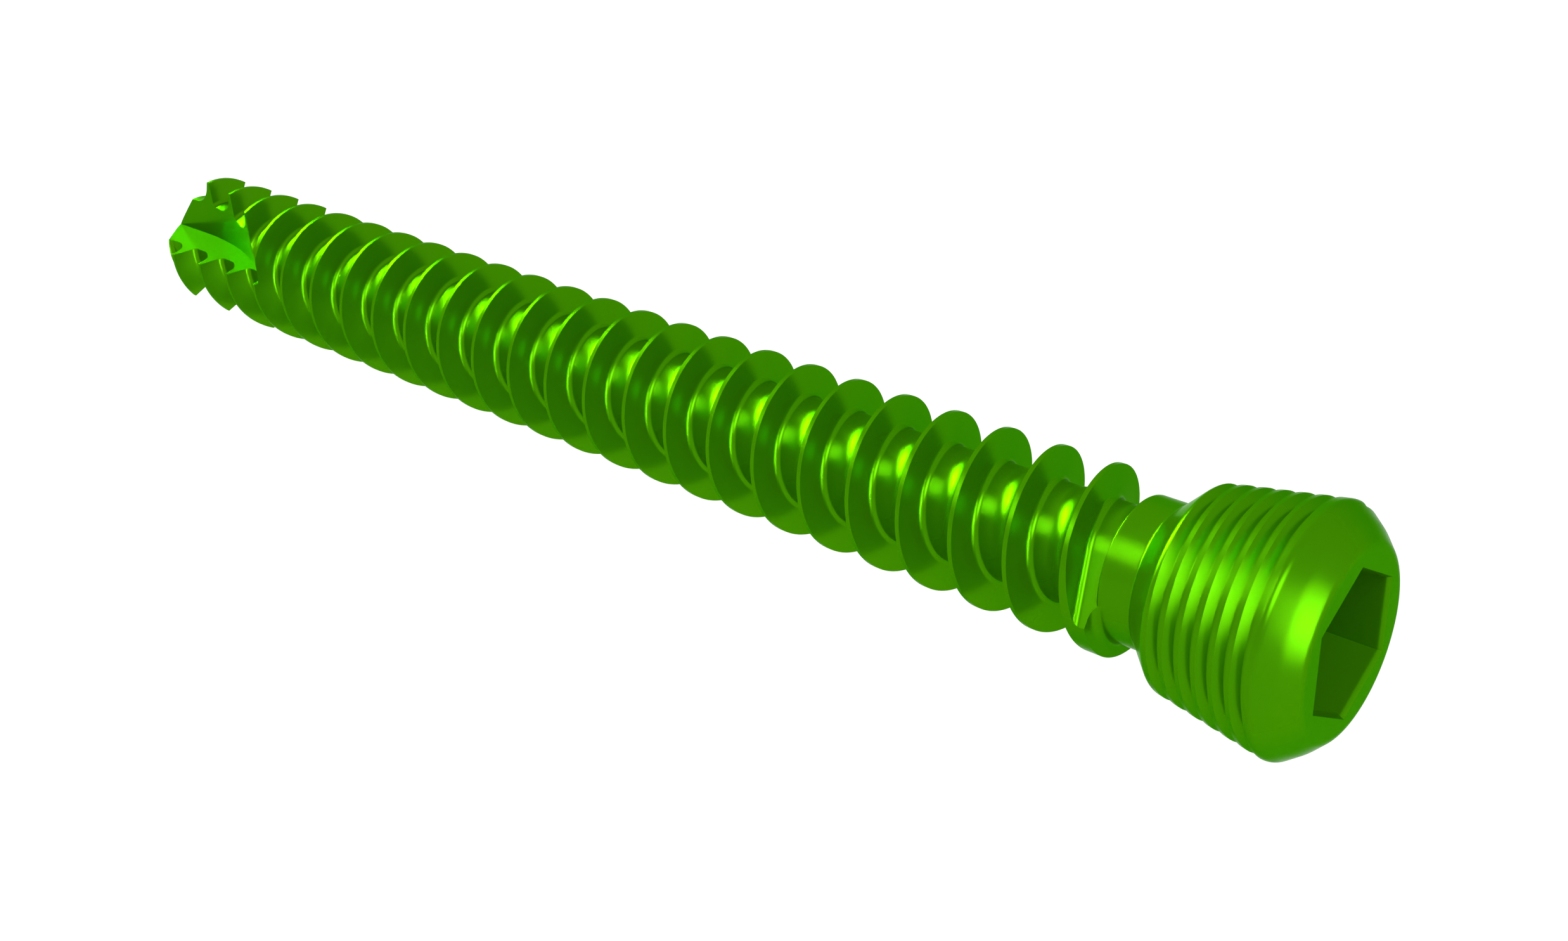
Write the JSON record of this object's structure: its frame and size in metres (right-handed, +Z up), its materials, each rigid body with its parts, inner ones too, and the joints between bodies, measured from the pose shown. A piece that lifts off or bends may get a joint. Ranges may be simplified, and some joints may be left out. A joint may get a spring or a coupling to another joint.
{
  "type": "bone screw",
  "caption": "Locking bone screw: fully threaded buttress shank with a cutting point, and a threaded, tapered head with a hexagonal socket, anodised green.",
  "frame": {"origin": "on the ground under the middle of the lying screw", "axes": "+X from the point towards the head, +Z up; the screw's own axis lies in the XZ plane, its head end 1.3 degrees higher"},
  "size_m": [0.0507, 0.0068, 0.0068],
  "materials": {
    "green_anodised_titanium": "smooth anodised"
  },
  "bodies": {
    "root": {"bone_screw": "green_anodised_titanium"}
  },
  "joints": []
}
